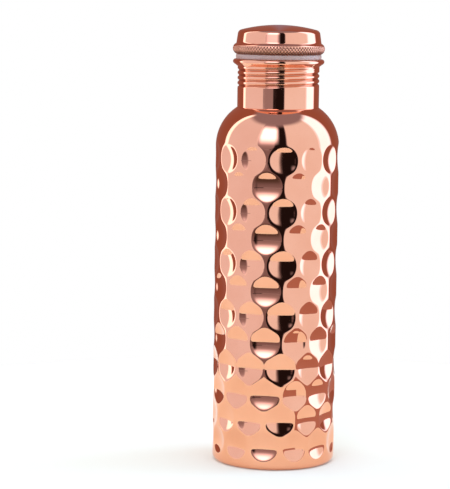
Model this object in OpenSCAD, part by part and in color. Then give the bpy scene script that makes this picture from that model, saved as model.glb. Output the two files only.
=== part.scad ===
// A one-litre water bottle in sheet copper, with a screw lid.
// The body is a drawn shell with rows of pressed dimples. A threaded neck and a dished base are brazed in.
// The lid is a domed cover brazed to a hollow threaded plug. A silicone ring seals it on the neck's lip.
// Sizes are in millimetres. Z is up, and the origin is the middle of the ring that the bottle stands on.

/* [Body] */
// Outer diameter of the body, over the ridges between the dimples
body_d = 78; // [62:0.5:100]
// Height of the straight wall, from the table to where the shoulder turns in
body_h = 201.3; // [120:0.1:260]
// Thickness of the copper sheet, the same in every pressed piece
sheet = 0.6; // [0.5:0.05:0.9]
// Outer radius of the shoulder's curve
shoulder_r = 29.4; // [22:0.2:36]
// Outer radius of the corner between the wall and the foot
foot_r = 3.5; // [2.5:0.25:6]
// Width of the flat hem that the bottle stands on
foot_hem_w = 2.5; // [1.5:0.25:4]
// Height of the base plate's underside above the table
base_recess = 4; // [3:0.25:12]

/* [Dimples] */
// Dimples in one row around the body
dimples_around = 13; // [9:1:17]
// Depth of a dimple at its middle, below the ridges
dimple_depth = 1.8; // [0.8:0.1:2.4]
// How much less high a dimple is than the distance from one dimple to the next
dimple_gap = 1.5; // [0.8:0.1:4]
// Distance of the top row's middle below the top of the straight wall
dimple_drop = 6.5; // [4:0.5:30]
// Direction of the first dimple in the top row, counter-clockwise from +X
dimple_turn = -84.5; // [-180:0.1:180]

/* [Neck] */
// Outer diameter of the neck
neck_d = 51.6; // [42:0.2:56]
// Height of the neck, from the crease at the shoulder to the top of the lip
neck_h = 30.4; // [24:0.2:44]
// Length of neck that reaches down inside the shoulder
neck_tail = 3; // [2:0.25:6]
// How far the rolled lip stands out of the neck
lip_out = 3; // [1.5:0.1:4]
// Height of the rolled lip
lip_h = 4.6; // [4:0.1:7]
// Radius of the lip's rounded edge
lip_r = 1.6; // [1:0.1:1.9]

/* [Thread] */
// Rise of the thread in one turn
thread_pitch = 3.2; // [2.8:0.1:4]
// Turns of thread rolled into the neck
thread_turns = 4; // [3:0.5:5]
// Depth of the rolled groove
thread_depth = 0.9; // [0.6:0.05:1]
// Width of the groove at the neck's surface
thread_w = 1.3; // [0.9:0.1:1.6]
// Gap between the neck's thread and the plug's thread
thread_gap = 0.25; // [0.15:0.05:0.4]

/* [Lid] */
// Gap between the neck's bore and the plug, all round
plug_gap = 0.3; // [0.2:0.05:0.5]
// Length of the plug below the top of the lip
plug_h = 15.5; // [13:0.5:22]
// How much wider the lid's top edge is than the neck, in diameter
lid_over = 0.4; // [-2:0.1:8]
// How much wider the lid's side is at the bead than at the top edge, in diameter
lid_flare = 1.6; // [0.2:0.1:3]
// Height of the lid's side, from the bead's middle to the top edge
lid_side_h = 8.9; // [7:0.1:16]
// Height of the dome above the top edge
dome_rise = 6; // [3:0.1:9]
// Radius of the edge between the side and the dome
lid_edge_r = 3; // [1:0.1:3.5]
// Radius of the grip bead's rounded section
bead_r = 3.7; // [3:0.1:5]
// Height of the bead's middle above the lid's underside
bead_h = 3.5; // [2.5:0.1:4.5]
// How far the bead stands out of the lid's side
bead_out = 2.2; // [1:0.1:3]

/* [Seal] */
// Height of the silicone ring between the lip and the lid
seal_h = 3; // [2:0.1:6]
// Width of the silicone ring, from its hole to its outside
seal_w = 2; // [1.4:0.1:2.2]
// Gap between the silicone ring and the plug, all round
seal_gap = 0.1; // [0.05:0.05:0.3]

/* [Hidden] */
$fn = 96;

// Body and shoulder
body_r = body_d / 2;
neck_r = neck_d / 2;
shoulder_c = body_r - shoulder_r;
neck_root = body_h + sqrt(shoulder_r ^ 2 - (neck_r - shoulder_c) ^ 2);
foot_c = body_r - foot_r;

// Dimples: staggered rows, spaced as closely up and down as they are around. Each is part of a ball.
dimple_pitch = PI * body_d / dimples_around;
row_pitch = dimple_pitch * sin(60);
row_turn = 180 / dimples_around;
dimple_rows = floor((body_h - dimple_drop - 8) / row_pitch) + 1;
dimple_r = (dimple_pitch - dimple_gap) / 2;
ball_r = (dimple_r ^ 2 + dimple_depth ^ 2) / (2 * dimple_depth);

// Neck, lip and thread. A thread's groove or ridge gets wider by flank for each millimetre of depth.
flank = 1;
bore_r = neck_r - sheet;
lip_top = neck_root + neck_h;
lip_under = lip_top - lip_h;
lip_c = neck_r + lip_out - lip_r;
lip_dx = lip_c - neck_r;
lip_dz = lip_h - lip_r;
lip_reach = sqrt(lip_dx ^ 2 + lip_dz ^ 2 - lip_r ^ 2);
lip_slope = atan2(lip_dz, lip_dx) - asin(lip_r / sqrt(lip_dx ^ 2 + lip_dz ^ 2));
groove_r = neck_r - thread_depth;
groove_w = thread_w - flank * thread_depth;
ridge_r = groove_r - sheet;
ridge_w = groove_w + 0.5;
thread_low = lip_under - 1 - thread_turns * thread_pitch;

// Lid: a straight flared side, a small round edge and a shallow dome tangent to it
lid_z = lip_top + seal_h;
bead_z = lid_z + bead_h;
edge_z = bead_z + lid_side_h;
edge_r = neck_r + lid_over / 2;
edge_c = edge_r - lid_edge_r;
side_slope = atan2(lid_flare / 2, lid_side_h);
side_r = edge_r + lid_flare / 2;
bead_c = side_r + bead_out - bead_r;
dome_r = (edge_c ^ 2 + dome_rise ^ 2 - lid_edge_r ^ 2) / (2 * (dome_rise - lid_edge_r));
dome_c = edge_z + dome_rise - dome_r;
dome_w = edge_c * dome_r / (dome_r - lid_edge_r);

// Plug: its groove runs out at the nose, so that it can be screwed over the neck's ridge
plug_r = bore_r - plug_gap;
plug_low = lip_top - plug_h;
plug_groove_r = ridge_r - plug_gap - 0.1;
plug_groove_w = ridge_w + 2 * thread_gap;
plug_groove_low = thread_low + thread_pitch * floor((plug_low - 1 - thread_low) / thread_pitch);
plug_groove_turns = thread_turns + (thread_low - plug_groove_low) / thread_pitch + 0.5;
nose_r = plug_groove_r - 0.1;
nose_h = 2;
flange_w = 1.6;
seal_r = plug_r + seal_gap;

// Base plate: a shallow pan, upside down
pan_r = foot_c - 0.5;
pan_corner = 2;

// Half outline of the body, moved inwards by inset
module body_outline(inset) {
  translate([0, foot_r])
    square([body_r - inset, body_h - foot_r]);
  translate([0, inset])
    square([foot_c, foot_r]);
  translate([foot_c, foot_r])
    circle(r = foot_r - inset);
  translate([0, body_h])
    square([shoulder_c, shoulder_r - inset]);
  intersection() {
    translate([shoulder_c, body_h])
      circle(r = shoulder_r - inset, $fn = 240);
    translate([0, body_h])
      square([body_r, shoulder_r]);
  }
}

// The tool for one dimple, moved inwards by inset: a cap of a ball whose middle is outside the body
module dimple(inset) {
  translate([body_r + ball_r - dimple_depth, 0, 0])
    rotate([0, -90, 0])
      rotate_extrude()
        intersection() {
          circle(r = ball_r + inset);
          translate([0, ball_r - dimple_depth - 1.4])
            square([dimple_pitch * 0.485, dimple_depth + 3]);
        }
}

module dimples(inset) {
  for (row = [0 : dimple_rows - 1], i = [0 : dimples_around - 1])
    translate([0, 0, body_h - dimple_drop - row * row_pitch])
      rotate([0, 0, dimple_turn + row_turn * (2 * i + row % 2)])
        dimple(inset);
}

// Drawn wall and shoulder in one piece. The foot is turned in to a flat hem.
module body_shell() {
  color("peru")
    difference() {
      rotate_extrude()
        body_outline(0);
      dimples(0);
      difference() {
        rotate_extrude()
          body_outline(sheet);
        dimples(sheet);
      }
      translate([0, 0, body_h])
        cylinder(r = neck_r, h = shoulder_r + 1);
      translate([0, 0, -1])
        cylinder(r = foot_c - foot_hem_w, h = foot_r);
    }
}

// Half outline of the neck: a tube with a lip that is rolled outwards
module neck_outline() {
  translate([bore_r, neck_root - neck_tail])
    square([sheet, neck_h + neck_tail - lip_r]);
  translate([bore_r, lip_top - lip_r])
    square([lip_c - bore_r, lip_r]);
  translate([lip_c, lip_top - lip_r])
    circle(r = lip_r);
  polygon([
    [bore_r + sheet / 2, lip_under],
    [neck_r, lip_under],
    [neck_r + lip_reach * cos(lip_slope), lip_under + lip_reach * sin(lip_slope)],
    [lip_c, lip_top - lip_r],
    [bore_r + sheet / 2, lip_top - lip_r],
  ]);
}

// A right-hand helical bar that starts at height low. Its section narrows from the root to the tip.
// The tip fades out over the first and last quarter turn.
module helix(root_r, tip_r, tip_w, low, turns) {
  steps = 36;
  root_w = min(thread_pitch - 0.15, tip_w + flank * abs(root_r - tip_r));
  n = round(turns * steps);
  points = [
    for (i = [0 : n])
      let (
        fade = min(1, 0.1 + 4 * i / steps, 0.1 + 4 * (n - i) / steps),
        r = root_r + (tip_r - root_r) * fade,
        z = low + thread_pitch * i / steps,
        a = 360 * i / steps
      )
      each [
        [root_r * cos(a), root_r * sin(a), z - root_w / 2],
        [root_r * cos(a), root_r * sin(a), z + root_w / 2],
        [r * cos(a), r * sin(a), z + tip_w / 2],
        [r * cos(a), r * sin(a), z - tip_w / 2],
      ]
  ];
  faces = [
    [3, 2, 1, 0],
    for (i = [0 : n - 1], k = [0 : 3])
      each [
        [4 * i + k, 4 * i + (k + 1) % 4, 4 * i + 4 + k],
        [4 * i + (k + 1) % 4, 4 * i + 4 + (k + 1) % 4, 4 * i + 4 + k],
      ],
    [4 * n, 4 * n + 1, 4 * n + 2, 4 * n + 3],
  ];
  polyhedron(points = points, faces = faces, convexity = 10);
}

// Brazed-in neck. The groove rolled in from outside stands out inside as the thread's ridge.
module neck_collar() {
  color("chocolate")
    difference() {
      union() {
        rotate_extrude()
          neck_outline();
        helix(bore_r + 0.3, ridge_r, ridge_w, thread_low, thread_turns);
      }
      helix(neck_r + 0.5, groove_r, groove_w, thread_low, thread_turns);
    }
}

// Half outline of the base plate, moved inwards by inset
module pan_outline(inset) {
  square([pan_r - inset, sheet + base_recess - pan_corner]);
  square([pan_r - pan_corner, sheet + base_recess - inset]);
  translate([pan_r - pan_corner, sheet + base_recess - pan_corner])
    circle(r = pan_corner - inset);
}

// Pan-shaped base. Its turned-down rim stands on the hem.
module base_plate() {
  color("sienna")
    rotate_extrude()
      difference() {
        pan_outline(0);
        pan_outline(sheet);
        square([body_r, sheet]);
      }
}

// Ring of filler under the shoulder, around the neck's tail
module neck_braze() {
  color("goldenrod")
    rotate_extrude()
      intersection() {
        body_outline(sheet);
        translate([neck_r, neck_root - neck_tail + 0.3])
          square([1.5, neck_tail]);
      }
}

// Ring of filler in the corner between the base plate's rim and the wall
module base_braze() {
  color("goldenrod")
    rotate_extrude()
      intersection() {
        body_outline(sheet);
        translate([pan_r, 0])
          square([1.8, sheet + 1.8]);
      }
}

module seal_ring() {
  color("mistyrose")
    rotate_extrude()
      translate([seal_r, lip_top])
        square([seal_w, seal_h]);
}

// Half outline of the lid, moved inwards by inset
module lid_outline(inset) {
  intersection() {
    translate([bead_c, bead_z])
      circle(r = bead_r - inset);
    translate([0, lid_z + inset])
      square([bead_c + bead_r, 2 * bead_r]);
  }
  translate([0, lid_z + inset])
    square([bead_c, bead_h]);
  polygon([
    [0, bead_z],
    [side_r - inset, bead_z],
    [edge_c + (lid_edge_r - inset) * cos(side_slope), edge_z + (lid_edge_r - inset) * sin(side_slope)],
    [edge_c, edge_z],
    [0, edge_z],
  ]);
  translate([edge_c, edge_z])
    circle(r = lid_edge_r - inset);
  intersection() {
    translate([0, dome_c])
      circle(r = dome_r - inset, $fn = 360);
    translate([0, edge_z])
      square([dome_w * (1 - inset / dome_r), dome_rise]);
  }
}

// Spun cover with the grip bead. Its underside is turned in to the plug.
module lid_cover() {
  color("sandybrown")
    rotate_extrude()
      difference() {
        lid_outline(0);
        lid_outline(sheet);
        square([plug_r, lid_z + 2 * sheet]);
      }
}

// Closed cup that screws into the neck. Its flange lies on the cover's turned-in underside.
// The groove rolled in from outside stands out inside the cup as a ridge.
module lid_plug() {
  top = lid_z + 2 * sheet;
  shelf = plug_low + nose_h;
  color("burlywood")
    difference() {
      union() {
        difference() {
          union() {
            translate([0, 0, plug_low])
              cylinder(r = nose_r, h = nose_h + 1);
            translate([0, 0, shelf])
              cylinder(r = plug_r, h = top - shelf);
            translate([0, 0, top - sheet])
              cylinder(r = plug_r + flange_w, h = sheet);
          }
          translate([0, 0, plug_low + sheet])
            cylinder(r = nose_r - sheet, h = top);
          translate([0, 0, shelf + sheet])
            cylinder(r = plug_r - sheet, h = top);
        }
        intersection() {
          helix(plug_r - sheet + 0.2, plug_groove_r - sheet, plug_groove_w + 0.5,
                plug_groove_low, plug_groove_turns);
          translate([0, 0, shelf])
            cylinder(r = plug_r, h = top - shelf);
        }
      }
      helix(plug_r + 0.4, plug_groove_r, plug_groove_w, plug_groove_low, plug_groove_turns);
    }
}

// Ring of filler between the plug's flange and the bead
module lid_braze() {
  color("goldenrod")
    rotate_extrude()
      intersection() {
        lid_outline(sheet);
        translate([plug_r + flange_w, lid_z])
          square([1, 2 * sheet]);
      }
}

body_shell();
neck_collar();
base_plate();
neck_braze();
base_braze();
seal_ring();
lid_cover();
lid_plug();
lid_braze();
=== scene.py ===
# %% [markdown]
# # A dimpled copper bottle with a screw lid
# The real bottle is sheet copper: a drawn body with rows of punched dimples, a threaded neck brazed into its
# shoulder, a dished base, and a domed lid whose hollow plug screws into the neck over a silicone ring.
# The engineering model already has every piece in place, so this lesson only makes the visible skins: true
# meshes with the fine shape that polished metal shows, and the finishes and lights that make copper look right.

import math

import bpy
import numpy as np
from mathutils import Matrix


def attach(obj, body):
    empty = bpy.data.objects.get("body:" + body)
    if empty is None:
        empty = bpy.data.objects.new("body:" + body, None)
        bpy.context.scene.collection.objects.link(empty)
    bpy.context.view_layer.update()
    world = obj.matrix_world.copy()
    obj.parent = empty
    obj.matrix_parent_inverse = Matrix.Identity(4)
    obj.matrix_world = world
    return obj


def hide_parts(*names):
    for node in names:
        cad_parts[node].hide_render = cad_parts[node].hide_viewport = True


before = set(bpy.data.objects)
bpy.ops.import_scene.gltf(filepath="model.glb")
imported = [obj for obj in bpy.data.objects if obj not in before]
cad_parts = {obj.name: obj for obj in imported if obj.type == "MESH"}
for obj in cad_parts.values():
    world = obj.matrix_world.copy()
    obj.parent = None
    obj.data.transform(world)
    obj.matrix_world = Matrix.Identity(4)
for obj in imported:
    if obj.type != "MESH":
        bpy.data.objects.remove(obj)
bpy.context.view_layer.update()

# %% [markdown]
# Every piece of this bottle is round, so each can be turned like a pot: a profile is drawn beside the axis and
# swept around it. Blender's Spin or Screw tools do that, but here the wall has dimples, the neck has a thread
# and the lid has a knurl. So the sweep is done in code, as rings of points, and each ring may be pushed in or
# out point by point before the faces are made.

# %% Turning a piece from rings of points
MM = 0.001


def arc(centre_r, centre_z, radius, start, end, steps):
    """Points on a round corner of a profile, with angles in degrees from straight out."""
    angles = np.radians(np.linspace(start, end, steps + 1))
    return [(centre_r + radius * math.cos(a), centre_z + radius * math.sin(a)) for a in angles]


def line(start, end, step):
    """Points on a straight part of a profile, about step apart."""
    count = max(1, round(math.dist(start, end) / step))
    return [tuple(np.array(start) + (np.array(end) - np.array(start)) * i / count) for i in range(count + 1)]


def join(*parts):
    """One profile from several parts, without the points that repeat."""
    points = []
    for part in parts:
        for p in part:
            if not points or math.dist(points[-1], p) > 1e-4:
                points.append((float(p[0]), float(p[1])))
    return points


def outward(points):
    """The direction square to the profile at each point, to the right of the way it runs."""
    p = np.array(points)
    run = np.gradient(p, axis=0)
    run /= np.linalg.norm(run, axis=1)[:, None]
    return np.column_stack([run[:, 1], -run[:, 0]])


def skin(name, radius, height, closed):
    """A mesh from rings: radius and height hold one row per ring and one column per step around, in mm.
    A closed skin joins its last ring to its first. An open one gets a middle point at both ends."""
    rings, around = radius.shape
    turn = np.linspace(0, 2 * math.pi, around, endpoint=False)
    points = np.stack([radius * np.cos(turn), radius * np.sin(turn), height], axis=2).reshape(-1, 3) * MM
    row = np.arange(around)
    after = (row + 1) % around
    faces = []
    for i in range(rings if closed else rings - 1):
        a, b = i * around, (i + 1) % rings * around
        faces += np.column_stack([a + row, a + after, b + after, b + row]).tolist()
    if not closed:
        ends = [[0, 0, height[0].mean() * MM], [0, 0, height[-1].mean() * MM]]
        points = np.vstack([points, ends])
        first, last = rings * around, (rings - 1) * around
        faces += np.column_stack([after, row, np.full(around, first)]).tolist()
        faces += np.column_stack([last + row, last + after, np.full(around, first + 1)]).tolist()
    mesh = bpy.data.meshes.new(name)
    mesh.from_pydata(points.tolist(), [], faces)
    mesh.update()
    mesh.shade_smooth()
    piece = bpy.data.objects.new(name, mesh)
    bpy.context.scene.collection.objects.link(piece)
    print(f"{name}: {len(points)} points, {len(faces)} faces")
    return piece


def keep_painted_shade(piece, depth):
    """Stores, from 0 to 1, how much painted shade a finish lays on each point: groove floors, knurl valleys and the
    bead's lower side.
    """
    values = np.zeros(len(piece.data.vertices), dtype=np.float32)
    values[: depth.size] = depth.ravel()
    piece.data.attributes.new("depth", "FLOAT", "POINT").data.foreach_set("value", values)


def rings_of(points, around):
    """Radius and height tables for a profile that is the same all the way round."""
    p = np.array(points)
    return np.repeat(p[:, :1], around, axis=1), np.repeat(p[:, 1:], around, axis=1)


# %% [markdown]
# ## The dimpled wall
# The wall is drawn as a plain tube and a round punch then presses it in, row by row, each row half a step round
# from the one below. A bump map could fake this on a dull surface, but a mirror shows its true shape, and so
# does the outline, so the dimples are real. Each is a shallow bowl, and where bowl meets wall the metal rolls
# over softly. A soft maximum of "no dent" and "bowl" gives exactly that rolled edge.

# %% Sizes of the wall
SHEET = 0.6
BODY_R, BODY_H, SHOULDER_R, FOOT_R, HEM_W = 39.0, 201.3, 29.4, 3.5, 2.5
NECK_R = 25.8
SHOULDER_C, FOOT_C = BODY_R - SHOULDER_R, BODY_R - FOOT_R
NECK_ROOT = BODY_H + math.sqrt(SHOULDER_R**2 - (NECK_R - SHOULDER_C) ** 2)
DIMPLES_AROUND, DIMPLE_ROWS = 13, 12
DIMPLE_DEPTH, DIMPLE_HALF_W, DIMPLE_HALF_H = 1.8, 8.45, 9.1
DIMPLE_STEP = 2 * math.pi * BODY_R / DIMPLES_AROUND
ROW_STEP = DIMPLE_STEP * math.sin(math.radians(60))
TOP_ROW, FIRST_TURN = BODY_H - 6.5, math.radians(-82.7)
print(f"neck meets shoulder at {NECK_ROOT:.2f} mm, rows are {ROW_STEP:.2f} mm apart")

# %% [markdown]
# Nobody presses 156 dimples quite alike. The wheel that turns the bottle under the punch runs a little unevenly, so
# a few columns near the front stand up to three degrees away from the rest, and each blow lands a bit off and
# goes in a bit more or less. Small seeded random numbers give that hand, the same on every run.

# %% Pressing the dimples
RIM_ROLL, SLIP, FORCE = 0.17, 0.15, 0.05
WHEEL_ERROR, WHEEL_WIDTH, WHEEL_PLACE = 3.2, 18, -76


def pressed(turn, height, radius):
    """How far the punch has pushed the wall in, in mm, at each point."""
    off_place = (np.degrees(turn) - WHEEL_PLACE + 180) % 360 - 180
    turn = turn + np.radians(WHEEL_ERROR * (1 - np.exp(-((off_place / WHEEL_WIDTH) ** 2))))
    rng = np.random.RandomState(11)
    total = np.ones_like(radius)
    for row in range(DIMPLE_ROWS):
        hand = rng.uniform(-1, 1, (DIMPLES_AROUND, 3))
        centre = FIRST_TURN + math.pi / DIMPLES_AROUND * (row % 2)
        index = np.round((turn - centre) / (2 * math.pi) * DIMPLES_AROUND)
        nearest = index.astype(int) % DIMPLES_AROUND
        across = (turn - centre - index * 2 * math.pi / DIMPLES_AROUND) * BODY_R - SLIP * hand[nearest, 0]
        up = height - (TOP_ROW - row * ROW_STEP) - SLIP * hand[nearest, 1]
        depth = DIMPLE_DEPTH * (1 + FORCE * hand[nearest, 2])
        bowl = depth * (1 - (across / DIMPLE_HALF_W) ** 2 - (up / DIMPLE_HALF_H) ** 2)
        total += np.exp(np.clip((radius - BODY_R + bowl) / RIM_ROLL, -40, 60))
    return RIM_ROLL * np.log(total)

print(f"{DIMPLES_AROUND * DIMPLE_ROWS} dimples, the even ones {DIMPLE_STEP:.2f} mm apart")

# %% [markdown]
# The wall's outer and inner face make one closed skin. Each point outside is pushed in by the punch, and the face
# inside follows one sheet's thickness further in. It takes only every third ring, because it's seen through the
# mouth at most.

# %% The dimpled wall
wall_profile = join(
    line((FOOT_C - HEM_W, 0), (FOOT_C, 0), 0.8),
    arc(FOOT_C, FOOT_R, FOOT_R, -90, 0, 12),
    line((BODY_R, FOOT_R), (BODY_R, BODY_H), 0.66),
    arc(SHOULDER_C, BODY_H, SHOULDER_R, 0, math.degrees(math.acos((NECK_R - SHOULDER_C) / SHOULDER_R)), 44),
)
WALL_AROUND = DIMPLES_AROUND * 30
turns = np.linspace(0, 2 * math.pi, WALL_AROUND, endpoint=False)
wall_r, wall_z = rings_of(wall_profile, WALL_AROUND)
dent = pressed(np.broadcast_to(turns, wall_r.shape), wall_z, wall_r)
square_to = outward(wall_profile)
inside = list(range(0, len(wall_profile), 3))
if inside[-1] != len(wall_profile) - 1:
    inside.append(len(wall_profile) - 1)
inside = inside[::-1]
inner_r = (wall_r - dent - SHEET * square_to[:, :1])[inside]
inner_z = (wall_z - SHEET * square_to[:, 1:])[inside]
wall = skin("dimpled_wall", np.vstack([wall_r - dent, inner_r]), np.vstack([wall_z, inner_z]), closed=True)
print(f"deepest dimple {dent.max():.2f} mm")

# %% [markdown]
# ## The threaded neck
# A neck like this is a tube with its mouth rolled over into a lip, and a thread rolled in from outside, so the
# groove outside is a ridge inside. A thread is one long spiral, and on each ring of points that is only a
# question of phase: how far the point is from the spiral's centre line. The power of a cosine gives a groove with
# a rounded floor and a broad round crest, and the spiral fades out over a quarter turn at both ends.

# %% Sizes of the neck, and a rolled thread
NECK_H, NECK_TAIL, LIP_OUT, LIP_H, LIP_R = 30.4, 3.0, 3.0, 4.6, 1.6
PITCH, THREAD_TURNS, THREAD_DEPTH = 3.2, 4, 0.9
BORE_R = NECK_R - SHEET
LIP_TOP = NECK_ROOT + NECK_H
LIP_UNDER = LIP_TOP - LIP_H
LIP_C = NECK_R + LIP_OUT - LIP_R
THREAD_LOW = LIP_UNDER - 1 - THREAD_TURNS * PITCH


def thread(turn, height, low, length, depth):
    """Depth of a right-hand rolled thread at each point. It starts at height low and has length turns."""
    place = (height - low) / PITCH - turn / (2 * math.pi)
    lap = np.clip(np.round(place), 0, math.ceil(length))
    along = lap + turn / (2 * math.pi)
    fade = np.clip(np.minimum(4 * along, 4 * (length - along)), 0, 1)
    fade = fade * fade * (3 - 2 * fade)
    away = np.clip(np.abs(place - lap), 0, 0.5)
    return depth * fade * np.cos(math.pi * away) ** 4

print(f"groove {THREAD_DEPTH} mm deep, {THREAD_TURNS} turns of {PITCH} mm")

# %% [markdown]
# The neck's profile runs once round the sheet: up the outside, under and over the rolled lip, and down the bore.
# The rings stand close together only where the thread is. The groove is cut into both faces, but not into the lip.
# How deep it is at each point is kept for the finish, which darkens the groove floor as painted shade.

# %% The neck
lip_dx, lip_dz = LIP_C - NECK_R, LIP_H - LIP_R
lip_slope = math.degrees(math.atan2(lip_dz, lip_dx) - math.asin(LIP_R / math.hypot(lip_dx, lip_dz)))
neck_profile = join(
    arc(BORE_R + 0.35, NECK_ROOT - NECK_TAIL + 0.35, 0.35, -180, 0, 8),
    line((NECK_R, NECK_ROOT - NECK_TAIL + 0.35), (NECK_R, THREAD_LOW - 2), 1.5),
    line((NECK_R, THREAD_LOW - 2), (NECK_R, LIP_UNDER - 0.3), 0.17),
    arc(NECK_R + 0.5, LIP_UNDER - 0.2, 0.5, 180, 180 - (90 - lip_slope), 4),
    arc(LIP_C, LIP_TOP - LIP_R, LIP_R, lip_slope - 90, 90, 20),
    line((LIP_C, LIP_TOP), (BORE_R + 0.5, LIP_TOP), 0.6),
    arc(BORE_R + 0.5, LIP_TOP - 0.5, 0.5, 90, 180, 6),
    line((BORE_R, LIP_TOP - 0.5), (BORE_R, LIP_UNDER), 1.0),
    line((BORE_R, LIP_UNDER), (BORE_R, THREAD_LOW - 2), 0.2),
    line((BORE_R, THREAD_LOW - 2), (BORE_R, NECK_ROOT - NECK_TAIL + 0.35), 1.5),
)[:-1]
NECK_AROUND = 256
neck_r, neck_z = rings_of(neck_profile, NECK_AROUND)
turns = np.broadcast_to(np.linspace(0, 2 * math.pi, NECK_AROUND, endpoint=False), neck_r.shape)
groove = thread(turns, neck_z, THREAD_LOW, THREAD_TURNS, THREAD_DEPTH)
groove *= (neck_z < LIP_UNDER - 0.2) | (neck_r < NECK_R - 0.3)
neck = skin("threaded_neck", neck_r - groove, neck_z, closed=True)
# Painted shade: the deeper the groove, the darker the finish paints it.
keep_painted_shade(neck, 0.55 * (groove / THREAD_DEPTH) ** 2)
print(f"lip top at {LIP_TOP:.2f} mm, thread from {THREAD_LOW:.2f} to {THREAD_LOW + THREAD_TURNS * PITCH:.2f} mm")

# %% [markdown]
# ## The base plate
# Seen only from below or down the mouth: a shallow pan that stands on the wall's hem. It was spun on a lathe,
# which leaves faint rings, so its flat has a few hundredths of a millimetre of waves that go round it.

# %% The base plate
BASE_RECESS, PAN_R, PAN_CORNER = 4.0, FOOT_C - 0.5, 2.0
pan_top = SHEET + BASE_RECESS
flat_r = np.linspace(0.6, PAN_R - PAN_CORNER, 44)
waves = 0.03 * np.sin(flat_r * 1.9) * np.sin(math.pi * flat_r / flat_r[-1])
top_side = [(r, pan_top + w) for r, w in zip(flat_r, waves)]
under_side = [(r, BASE_RECESS + w) for r, w in zip(flat_r, waves)]
pan_profile = join(
    under_side,
    arc(PAN_R - PAN_CORNER, pan_top - PAN_CORNER, PAN_CORNER - SHEET, 90, 0, 8),
    line((PAN_R - SHEET, pan_top - PAN_CORNER), (PAN_R - SHEET, SHEET + 0.1), 0.5),
    line((PAN_R - SHEET + 0.1, SHEET), (PAN_R - 0.1, SHEET), 0.5),
    line((PAN_R, SHEET + 0.1), (PAN_R, pan_top - PAN_CORNER), 0.5),
    arc(PAN_R - PAN_CORNER, pan_top - PAN_CORNER, PAN_CORNER, 0, 90, 8),
    top_side[::-1],
)
base = skin("base_pan", *rings_of(pan_profile, 192), closed=False)

# %% [markdown]
# ## The silicone ring
# A soft ring, squeezed between lip and lid, bulges a little at its open edge. It's a rounded rectangle swept
# round, with its outer side crowned by a tenth of a millimetre.

# %% The silicone ring
PLUG_GAP, SEAL_H, SEAL_W, SEAL_GAP = 0.3, 3.0, 2.0, 0.1
PLUG_R = BORE_R - PLUG_GAP
SEAL_IN = PLUG_R + SEAL_GAP
SEAL_OUT = SEAL_IN + SEAL_W
LID_Z = LIP_TOP + SEAL_H
crown = [(SEAL_OUT - 0.12 + 0.12 * math.cos(t), LIP_TOP + SEAL_H / 2 + (SEAL_H / 2 - 0.45) * t / 1.57)
         for t in np.linspace(-1.57, 1.57, 13)]
seal_profile = join(
    line((SEAL_IN, LIP_TOP + 0.02), (SEAL_OUT - 0.55, LIP_TOP + 0.02), 0.4),
    arc(SEAL_OUT - 0.55, LIP_TOP + 0.45, 0.43, -90, 0, 5),
    crown,
    arc(SEAL_OUT - 0.55, LID_Z - 0.45, 0.43, 0, 90, 5),
    line((SEAL_OUT - 0.55, LID_Z - 0.02), (SEAL_IN, LID_Z - 0.02), 0.4),
    line((SEAL_IN, LID_Z - 0.02), (SEAL_IN, LIP_TOP + 0.02), 0.6),
)[:-1]
seal = skin("silicone_ring", *rings_of(seal_profile, 192), closed=True)

# %% [markdown]
# ## The lid's cover
# One spun cap: a bead to grip, a side that leans in a little, a small round edge and a shallow dome. It's turned
# as the wall was, from arcs that meet without a kink, because a mirror shows every kink as a broken line.

# %% Profile of the lid's cover
LID_OVER, LID_FLARE, SIDE_H, DOME_RISE, EDGE_R = 0.4, 1.6, 8.9, 6.0, 3.0
BEAD_R, BEAD_H, BEAD_OUT = 3.7, 3.5, 2.2
BEAD_Z = LID_Z + BEAD_H
EDGE_Z = BEAD_Z + SIDE_H
EDGE_C = NECK_R + LID_OVER / 2 - EDGE_R
SIDE_R = NECK_R + LID_OVER / 2 + LID_FLARE / 2
BEAD_C = SIDE_R + BEAD_OUT - BEAD_R
DOME_R = (EDGE_C**2 + DOME_RISE**2 - EDGE_R**2) / (2 * (DOME_RISE - EDGE_R))
DOME_C = EDGE_Z + DOME_RISE - DOME_R
slope = math.degrees(math.atan2(LID_FLARE / 2, SIDE_H))
tangent = math.degrees(math.atan2(EDGE_Z - DOME_C, EDGE_C))
bead_low = -math.degrees(math.asin(BEAD_H / BEAD_R))
bead_high = math.degrees(math.acos((SIDE_R - BEAD_C) / BEAD_R))


def cover_profile(inset, bead_steps, other_steps):
    """From the underside's inner edge, over the bead and side, to near the middle of the dome."""
    foot = (SIDE_R - inset, BEAD_Z + (BEAD_R - inset) * math.sin(math.radians(bead_high)))
    edge = arc(EDGE_C, EDGE_Z, EDGE_R - inset, slope, tangent, other_steps)
    return join(
        line((PLUG_R + 0.02, LID_Z + inset), (BEAD_C + 0.9, LID_Z + inset), 0.5),
        arc(BEAD_C, BEAD_Z, BEAD_R - inset, bead_low, bead_high, bead_steps),
        line(foot, edge[0], 0.9),
        edge,
        arc(0, DOME_C, DOME_R - inset, tangent, 89.7, 3 * other_steps),
    )

print(f"dome radius {DOME_R:.1f} mm, lid top at {EDGE_Z + DOME_RISE:.2f} mm")
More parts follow.
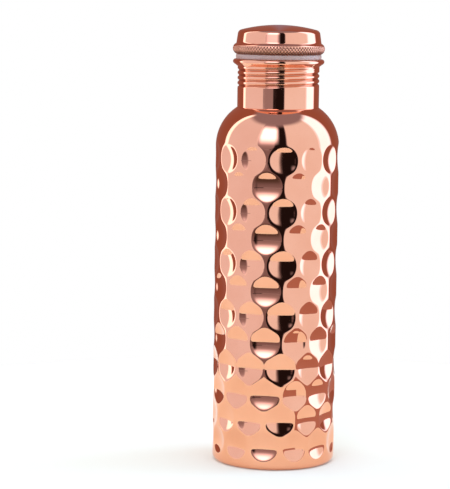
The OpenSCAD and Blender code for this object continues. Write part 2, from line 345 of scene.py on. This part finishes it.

# %% [markdown]
# The bead is knurled by a pair of hardened wheels that press two sets of slanting lines, and the lines cross into
# diamonds. Two slanting waves, each cut off flat at the top and then multiplied, give flat-topped pyramids with
# crossed valleys between them. The finish paints shade into the valleys and onto the lower side of the bead.

# %% The lid's cover, with its knurled bead
KNURLS, KNURL_DEPTH, KNURL_SLANT, FLAT_TOPS = 88, 0.4, 0.8, 1.6
KNURL_FROM, KNURL_TO = -70, 34
COVER_AROUND = KNURLS * 10
outer = cover_profile(0, 48, 10)
inner = cover_profile(SHEET, 12, 4)[::-1]
cover_r, cover_z = rings_of(outer, COVER_AROUND)
turns = np.broadcast_to(np.linspace(0, 2 * math.pi, COVER_AROUND, endpoint=False), cover_r.shape)
lean = np.degrees(np.arctan2(cover_z - BEAD_Z, cover_r - BEAD_C))
on_bead = np.clip((lean - KNURL_FROM) / 8, 0, 1) * np.clip((KNURL_TO - lean) / 10, 0, 1)
on_bead *= cover_z < BEAD_Z + BEAD_R
slant = np.radians(lean) * BEAD_R / (BEAD_R + BEAD_C) * KNURLS * KNURL_SLANT
lines = [np.minimum(FLAT_TOPS * np.abs(np.sin((KNURLS * turns + side * slant) / 2)), 1) for side in (-1, 1)]
valley = on_bead * (1 - lines[0] * lines[1])
cut = KNURL_DEPTH * valley
sides = outward(outer)
cover_r, cover_z = cover_r - cut * sides[:, :1], cover_z - cut * sides[:, 1:]
hidden_r, hidden_z = rings_of(inner, COVER_AROUND)
cover = skin("lid_cap", np.vstack([hidden_r, cover_r]), np.vstack([hidden_z, cover_z]), closed=False)
# Painted shade: the lower side of the bead is darkened, more the further down it faces.
bead_underside_shade = on_bead * np.clip((-lean - 15) / 40, 0, 0.7)
keep_painted_shade(cover, np.vstack([np.zeros_like(hidden_r), np.clip(1.4 * valley**1.3 + bead_underside_shade, 0, 1)]))
print(f"knurl pitch {2 * math.pi * (BEAD_C + BEAD_R) / KNURLS:.2f} mm")

# %% [markdown]
# ## The lid's plug
# Out of sight while the lid is on, and the first thing seen when it comes off: a closed cup with the mating
# thread. Its groove keeps the neck's phase and pitch, so the two slide past each other as the lid turns, and it
# runs out over the small nose at the bottom, which is how a screw plug finds its thread.

# %% The lid's plug
PLUG_H, NOSE_H, FLANGE_W, PLUG_DEPTH = 15.5, 2.0, 1.6, 1.0
PLUG_LOW = LIP_TOP - PLUG_H
NOSE_R = BORE_R - PLUG_GAP - PLUG_DEPTH - 0.1
shelf = PLUG_LOW + NOSE_H
flange = LID_Z + SHEET
plug_profile = join(
    [(0.6, PLUG_LOW + 0.35), (8, PLUG_LOW + 0.35)],
    line((8, PLUG_LOW + 0.35), (11, PLUG_LOW), 0.8),
    line((11, PLUG_LOW), (NOSE_R - 1, PLUG_LOW), 1.5),
    arc(NOSE_R - 1, PLUG_LOW + 1, 1, -90, 0, 8),
    line((NOSE_R, PLUG_LOW + 1), (NOSE_R, shelf), 0.4),
    arc(PLUG_R - 0.7, shelf + 0.7, 0.7, -90, 0, 7),
    line((PLUG_R, shelf + 0.7), (PLUG_R, LIP_UNDER + 1), 0.17),
    line((PLUG_R, LIP_UNDER + 1), (PLUG_R, flange), 1.2),
    line((PLUG_R, flange), (PLUG_R + FLANGE_W, flange), 0.8),
    line((PLUG_R + FLANGE_W, flange), (PLUG_R + FLANGE_W, flange + SHEET), 0.7),
    line((PLUG_R + FLANGE_W, flange + SHEET), (NOSE_R - SHEET, flange + SHEET), 1.0),
    line((NOSE_R - SHEET, flange + SHEET), (NOSE_R - SHEET, PLUG_LOW + 1.6), 1.5),
    line((NOSE_R - SHEET, PLUG_LOW + 1.6), (0.6, PLUG_LOW + 1.2), 4),
)
PLUG_AROUND = 256
plug_r, plug_z = rings_of(plug_profile, PLUG_AROUND)
turns = np.broadcast_to(np.linspace(0, 2 * math.pi, PLUG_AROUND, endpoint=False), plug_r.shape)
plug_groove_low = THREAD_LOW + PITCH * math.floor((PLUG_LOW - 1 - THREAD_LOW) / PITCH)
plug_turns = THREAD_TURNS + (THREAD_LOW - plug_groove_low) / PITCH + 0.5
mate = thread(turns, plug_z, plug_groove_low, plug_turns, PLUG_DEPTH)
mate *= np.clip((plug_r - NOSE_R) / (PLUG_R - NOSE_R), 0, 1) * (plug_z < LIP_UNDER + 0.9)
plug = skin("lid_plug_cup", plug_r - mate, plug_z, closed=False)
print(f"plug reaches down to {PLUG_LOW:.2f} mm")

# %% [markdown]
# ## Polished copper
# Polished copper is a mirror with a colour of its own. A metallic shader needs little more than that colour, but
# a perfect mirror looks like plastic film. Real buffed sheet has a slightly uneven tint where it has begun to
# tone, a shine that varies where it was handled, and very fine buffing lines. Each comes from noise in the
# object's own space, far finer than the dimples, so that the reflections stay sharp.

# %% Polished copper
def node(tree, kind, **settings):
    """A new node. Each setting is one of its properties or, if it has none of that name, one of its inputs."""
    made = tree.nodes.new(kind)
    for key, value in settings.items():
        if hasattr(made, key):
            setattr(made, key, value)
        else:
            made.inputs[key.replace("_", " ")].default_value = value
    return made


def noise(tree, place, scale, detail, stretch=(1, 1, 1)):
    """Noise in the object's own space. Scale is in lumps per metre."""
    fit = node(tree, "ShaderNodeMapping")
    fit.inputs["Scale"].default_value = stretch
    tree.links.new(place.outputs["Object"], fit.inputs["Vector"])
    made = node(tree, "ShaderNodeTexNoise", Scale=scale, Detail=detail, Roughness=0.55)
    tree.links.new(fit.outputs["Vector"], made.inputs["Vector"])
    return made.outputs["Fac"]


def spread(tree, value, low, high, start=0.3, end=0.7):
    """Maps a noise value to a range."""
    made = node(tree, "ShaderNodeMapRange")
    for key, number in (("From Min", start), ("From Max", end), ("To Min", low), ("To Max", high)):
        made.inputs[key].default_value = number
    tree.links.new(value, made.inputs["Value"])
    return made.outputs["Result"]


def copper(name, bright, toned, shine, buff, buff_stretch, tone_scale=38.0, painted_shade=None):
    """Polished copper: bright and toned are its two tints, shine its least and greatest roughness, and buff
    the depth of its buffing lines in micrometres. The last argument is the colour of painted shade, mixed in by the
    depth attribute."""
    made = bpy.data.materials.new(name)
    made.use_nodes = True
    tree = made.node_tree
    shader = tree.nodes["Principled BSDF"]
    shader.inputs["Metallic"].default_value = 1.0
    place = node(tree, "ShaderNodeTexCoord")
    tint = node(tree, "ShaderNodeMix", data_type="RGBA")
    tint.inputs["A"].default_value = (*bright, 1)
    tint.inputs["B"].default_value = (*toned, 1)
    tree.links.new(spread(tree, noise(tree, place, tone_scale, 4), 0, 1), tint.inputs["Factor"])
    colour = tint.outputs["Result"]
    # Painted shade: the stored depth value mixes a dark colour into grooves, knurl valleys and the bead's underside.
    if painted_shade:
        depth = node(tree, "ShaderNodeAttribute", attribute_name="depth")
        shade_mix = node(tree, "ShaderNodeMix", data_type="RGBA")
        shade_mix.inputs["B"].default_value = (*painted_shade, 1)
        tree.links.new(depth.outputs["Fac"], shade_mix.inputs["Factor"])
        tree.links.new(colour, shade_mix.inputs["A"])
        colour = shade_mix.outputs["Result"]
    tree.links.new(colour, shader.inputs["Base Color"])
    tree.links.new(spread(tree, noise(tree, place, 120, 5), *shine), shader.inputs["Roughness"])
    lines = node(tree, "ShaderNodeBump")
    lines.inputs["Distance"].default_value = buff * 1e-6
    lines.inputs["Strength"].default_value = 1.0
    tree.links.new(noise(tree, place, 900, 3, buff_stretch), lines.inputs["Height"])
    tree.links.new(lines.outputs["Normal"], shader.inputs["Normal"])
    return made


# %% [markdown]
# One recipe serves every copper piece, with its own numbers. Wall, neck and lid were buffed until they shine. The
# plug and the base were left as they came off the lathe, so they are rougher and darker and have deeper lines.

# %% The copper finishes
wall_copper = copper("polished_wall_copper", (0.95, 0.45, 0.27), (0.90, 0.40, 0.23), (0.025, 0.06), 2, (1, 1, 0.2))
# The neck and the lid carry a dark colour for painted shade in their grooves, knurl valleys and under the bead.
neck_copper = copper("polished_neck_copper", (0.95, 0.45, 0.27), (0.90, 0.40, 0.23), (0.025, 0.06), 2, (0.2, 0.2, 1),
                     painted_shade=(0.30, 0.10, 0.05))
lid_copper = copper("polished_lid_copper", (0.95, 0.45, 0.27), (0.90, 0.39, 0.23), (0.03, 0.07), 2, (0.2, 0.2, 1),
                    painted_shade=(0.07, 0.03, 0.02))
plug_copper = copper("spun_plug_copper", (0.92, 0.43, 0.27), (0.80, 0.33, 0.19), (0.10, 0.2), 4, (0.15, 0.15, 1))
base_copper = copper("spun_base_copper", (0.92, 0.43, 0.27), (0.80, 0.33, 0.19), (0.12, 0.22), 4, (1, 1, 0.2))
print("copper finishes:", [m.name for m in (wall_copper, neck_copper, lid_copper, plug_copper, base_copper)])

# %% [markdown]
# ## Silicone and brazing filler
# Food-safe silicone is matt and lets a little light in, so it gets some subsurface scattering and a soft, dusty
# variation. The filler rings are a yellower alloy that was never polished, so they are rougher and blotched.

# %% Silicone and filler
silicone = bpy.data.materials.new("pale_silicone")
silicone.use_nodes = True
tree = silicone.node_tree
shader = tree.nodes["Principled BSDF"]
shader.inputs["Subsurface Weight"].default_value = 0.35
shader.inputs["Subsurface Radius"].default_value = (0.004, 0.003, 0.003)
shader.inputs["Subsurface Scale"].default_value = 0.6
place = node(tree, "ShaderNodeTexCoord")
tint = node(tree, "ShaderNodeMix", data_type="RGBA")
tint.inputs["A"].default_value = (0.60, 0.41, 0.32, 1)
tint.inputs["B"].default_value = (0.53, 0.36, 0.28, 1)
tree.links.new(spread(tree, noise(tree, place, 160, 3), 0, 1), tint.inputs["Factor"])
tree.links.new(tint.outputs["Result"], shader.inputs["Base Color"])
tree.links.new(spread(tree, noise(tree, place, 400, 3), 0.42, 0.56), shader.inputs["Roughness"])

filler = copper("brazing_filler", (0.78, 0.52, 0.26), (0.55, 0.33, 0.15), (0.3, 0.5), 12, (1, 1, 1), 90.0)
print("other finishes:", silicone.name, filler.name)

# %% [markdown]
# ## Pieces, finishes and bodies
# Each skin rides on the moving body of the piece it stands for, so the lid's skins rise and turn with the lid. The three filler rings have the right shape already, so
# they stay as they are and only get their finish.

# %% Put each finish on its piece, and each piece on its body
pieces = [
    (wall, wall_copper, "bottle", "body_shell", "wall_copper"),
    (neck, neck_copper, "bottle", "neck_collar", "neck_copper"),
    (base, base_copper, "bottle", "base_plate", "base_copper"),
    (seal, silicone, "seal", "seal_ring", "silicone"),
    (cover, lid_copper, "lid", "lid_cover", "lid_copper"),
    (plug, plug_copper, "lid", "lid_plug", "plug_copper"),
]
for piece, finish, body, stands_for, record_slot in pieces:
    piece.data.materials.append(finish)
    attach(piece, body)
    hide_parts(stands_for)
for name in ("neck_braze", "base_braze", "lid_braze"):
    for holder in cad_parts[name].material_slots:
        holder.material = filler
print("filler on:", [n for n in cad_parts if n.endswith("braze")])

# %% [markdown]
# ## The studio
# A mirror has no look of its own: it shows the studio. Copper is shot with big pale cards left and right, a dark
# gap between them where the camera stands, a bright window above the gap, and a strip light at each side. Real
# lamps and cards could be built as objects, but a sky that is painted by direction is simpler, free of noise,
# and stays put when the camera moves. The two helpers here turn a direction into angles, and an angle into a card.

# %% Helpers for a sky painted by direction
def smooth_band(tree, value, low, high, low_soft, high_soft):
    """One between low and high, zero outside, with soft edges."""
    parts = []
    for edge, soft, rising in ((low, low_soft, True), (high, high_soft, False)):
        made = node(tree, "ShaderNodeMapRange", interpolation_type="SMOOTHSTEP")
        made.inputs["From Min"].default_value = edge - soft
        made.inputs["From Max"].default_value = edge + soft
        made.inputs["To Min"].default_value = 0.0 if rising else 1.0
        made.inputs["To Max"].default_value = 1.0 if rising else 0.0
        tree.links.new(value, made.inputs["Value"])
        parts.append(made.outputs["Result"])
    both = node(tree, "ShaderNodeMath", operation="MULTIPLY")
    tree.links.new(parts[0], both.inputs[0])
    tree.links.new(parts[1], both.inputs[1])
    return both.outputs[0]


def angle_of(tree, kind, *inputs):
    """An angle in degrees from a trigonometry node."""
    made = node(tree, "ShaderNodeMath", operation=kind)
    for i, value in enumerate(inputs):
        tree.links.new(value, made.inputs[i])
    degrees = node(tree, "ShaderNodeMath", operation="MULTIPLY")
    degrees.inputs[1].default_value = 180 / math.pi
    tree.links.new(made.outputs[0], degrees.inputs[0])
    return degrees.outputs[0]


# %% [markdown]
# A direction is read as two angles, as on a globe: how far round from the front, and how high.

# %% Angles round and up
world = bpy.data.worlds.new("studio")
bpy.context.scene.world = world
world.use_nodes = True
tree = world.node_tree
tree.nodes.clear()
place = node(tree, "ShaderNodeTexCoord")
split = node(tree, "ShaderNodeSeparateXYZ")
tree.links.new(place.outputs["Generated"], split.inputs[0])
towards = node(tree, "ShaderNodeMath", operation="MULTIPLY")
towards.inputs[1].default_value = -1.0
tree.links.new(split.outputs["Y"], towards.inputs[0])
side_angle = angle_of(tree, "ARCTAN2", split.outputs["X"], towards.outputs[0])
rise_angle = angle_of(tree, "ARCSINE", split.outputs["Z"])
print("sky angles ready in", world.name)

# %% [markdown]
# Each card is one line of numbers: its left and right edge and their softness, then its lower and upper edge and
# the softness of each, all in degrees, then its colour. Later cards cover earlier ones. The colours are bluish
# because copper takes the blue out again. What the camera sees directly is plain white, so that only the metal
# shows the studio.

# %% The cards and lights of the studio
BACKDROP = (0.31, 0.30, 0.42, 1)
cards = [
    (-180, -115, 2, -90, 62, 1, 6, (0.33, 0.14, 0.11)),  # the back, left half
    (119, 180, 3, -90, 62, 1, 6, (0.33, 0.14, 0.11)),  # the back, right half
    (-106, -37, 1.5, -90, 57, 1, 5, (0.90, 0.97, 1.22)),  # left card
    (-115, -105, 1.2, -90, 60, 1, 5, (2.0, 2.3, 2.8)),  # left strip light
    (17, 86, 1.5, -90, 58, 1, 5, (0.96, 1.08, 1.32)),  # right card
    (86, 119, 4, -90, 58, 1, 5, (1.8, 2.3, 3.4)),  # right strip light
    (-37, 17, 2, -90, 56, 1, 8, (0.45, 0.42, 0.56)),  # the gap in front, its upper part
    (-37, 17, 2, -90, 2, 1, 12, (0.22, 0.19, 0.25)),  # the gap, darker below
    (-37, 17, 2, -90, -16, 1, 8, (0.09, 0.07, 0.07)),  # the gap, darkest at the floor
    (-43, -12, 1.5, -3.5, -2.1, 0.2, 0.3, (0.36, 0.35, 0.47)),  # narrow grey bar, for the plain part of the neck
    (-5, 17, 2, -90, 56, 1, 7, (0.014, 0.010, 0.012)),  # the black cloth round the camera
    (-14, 0, 1.5, -3.5, -2.1, 0.2, 0.3, (0.014, 0.010, 0.012)),  # its fold, level with the neck
    (-35, -1, 6, 17, 50, 12, 8, (3.0, 3.2, 4.4)),  # the window above
]
colour = None
for left, right, side_soft, low, high, low_soft, high_soft, paint in cards:
    inside_card = node(tree, "ShaderNodeMath", operation="MULTIPLY")
    across = smooth_band(tree, side_angle, left, right, side_soft, side_soft)
    upright = smooth_band(tree, rise_angle, low, high, low_soft, high_soft)
    tree.links.new(across, inside_card.inputs[0])
    tree.links.new(upright, inside_card.inputs[1])
    mix = node(tree, "ShaderNodeMix", data_type="RGBA")
    if colour is None:
        mix.inputs["A"].default_value = BACKDROP
    else:
        tree.links.new(colour, mix.inputs["A"])
    mix.inputs["B"].default_value = (*paint, 1)
    tree.links.new(inside_card.outputs[0], mix.inputs["Factor"])
    colour = mix.outputs["Result"]
studio = node(tree, "ShaderNodeBackground")
tree.links.new(colour, studio.inputs["Color"])
plain = node(tree, "ShaderNodeBackground")
plain.inputs["Color"].default_value = (1, 1, 1, 1)
path = node(tree, "ShaderNodeLightPath")
choose = node(tree, "ShaderNodeMixShader")
out = node(tree, "ShaderNodeOutputWorld")
tree.links.new(path.outputs["Is Camera Ray"], choose.inputs["Fac"])
tree.links.new(studio.outputs[0], choose.inputs[1])
tree.links.new(plain.outputs[0], choose.inputs[2])
tree.links.new(choose.outputs[0], out.inputs["Surface"])
print(len(cards), "cards and lights in the studio")

# %% [markdown]
# ## The table
# The bottle stands on a white table that ends not far in front of it. Its edge matters: the upper part of each
# dimple looks down and mirrors the table, and the edge is the line across the dimple. The white is slightly
# yellow, which the bluish studio makes neutral, and it glows a very little so that it's even.

# %% The table
TABLE_R = 0.38
table = skin("table", *rings_of([(TABLE_R / MM, -4.02), (TABLE_R / MM, -0.02)], 128), closed=False)
table.data.shade_flat()
white = bpy.data.materials.new("white_table")
white.use_nodes = True
tree = white.node_tree
shader = tree.nodes["Principled BSDF"]
shader.inputs["Base Color"].default_value = (0.9, 0.95, 0.81, 1)
shader.inputs["Roughness"].default_value = 0.8
shader.inputs["Specular IOR Level"].default_value = 0.0
shader.inputs["Emission Color"].default_value = (1, 1, 0.8, 1)
shader.inputs["Emission Strength"].default_value = 0.04
table.data.materials.append(white)
print(f"table {2 * TABLE_R:.2f} m across")

# %% [markdown]
# ## The brown card
# Things that stand near a polished bottle show in it. A brown card lies flat on the table to the right and glows by
# itself, so it puts a painted red-brown reflection into the metal: only reflections find it, it isn't seen directly
# and throws no shadow or colour. It starts well away from the foot, so the lowest part of the wall still mirrors
# white table.

# %% The brown card
CARD_FROM, CARD_TO, CARD_INNER, CARD_Z = 35, 150, 0.14, 0.0004
sector = np.radians(np.linspace(CARD_FROM, CARD_TO, 40) - 90)
flag_points = [(r * math.cos(a), r * math.sin(a), CARD_Z) for a in sector for r in (CARD_INNER, TABLE_R)]
flag_mesh = bpy.data.meshes.new("brown_flag")
flag_mesh.from_pydata(flag_points, [], [(2 * i, 2 * i + 1, 2 * i + 3, 2 * i + 2) for i in range(len(sector) - 1)])
flag = bpy.data.objects.new("brown_flag", flag_mesh)
bpy.context.scene.collection.objects.link(flag)
brown = bpy.data.materials.new("brown_card")
brown.use_nodes = True
shader = brown.node_tree.nodes["Principled BSDF"]
shader.inputs["Base Color"].default_value = (0.02, 0.01, 0.01, 1)
shader.inputs["Roughness"].default_value = 0.9
# The card glows by itself: its red-brown is a painted reflection, seen only in the metal.
shader.inputs["Emission Color"].default_value = (0.42, 0.22, 0.19, 1)
shader.inputs["Emission Strength"].default_value = 1.0
flag_mesh.materials.append(brown)
flag.visible_camera = flag.visible_diffuse = flag.visible_shadow = False
print(f"brown card from {CARD_FROM} to {CARD_TO} degrees round from the front")

# %% [markdown]
# ## The lamp
# A broad lamp above and a little behind is left out of reflections. It lights the table, and gives only the soft
# shadow in front of the foot.

# %% The lamp
lamp = bpy.data.lights.new("top_light", "AREA")
lamp.shape, lamp.size, lamp.energy = "DISK", 1.6, 14
lamp_holder = bpy.data.objects.new("top_light", lamp)
lamp_holder.location = (0, 0.35, 1.6)
lamp_holder.rotation_euler = (-0.21, 0, 0)
lamp_holder.visible_glossy = False
bpy.context.scene.collection.objects.link(lamp_holder)
print(f"lamp {lamp.size} m across, {lamp.energy:.0f} W")

# %% [markdown]
# ## The camera
# A long lens stands a little above the lid and looks down by seven degrees, so the dome shows as a thin sliver and
# the upright sides stay almost parallel. A small roll and turn set the bottle where it stands in the frame. The
# Standard view keeps the whites of the table and of the highlights plain white.

# %% The camera
LOOK_DOWN, ROLL, LOOK_LEFT = 6.82, -0.71, 1.455
lens = bpy.data.cameras.new("camera")
lens.sensor_width, lens.lens = 36, 157.7
camera = bpy.data.objects.new("camera", lens)
bpy.context.scene.collection.objects.link(camera)
camera.location = (0, -1.355, 0.300)
camera.rotation_euler = (math.radians(90 - LOOK_DOWN), math.radians(ROLL), math.radians(LOOK_LEFT))
bpy.context.scene.camera = camera
bpy.context.scene.view_settings.view_transform = "Standard"
print(f"camera {math.hypot(camera.location.x, camera.location.y):.3f} m away, {lens.lens} mm lens")
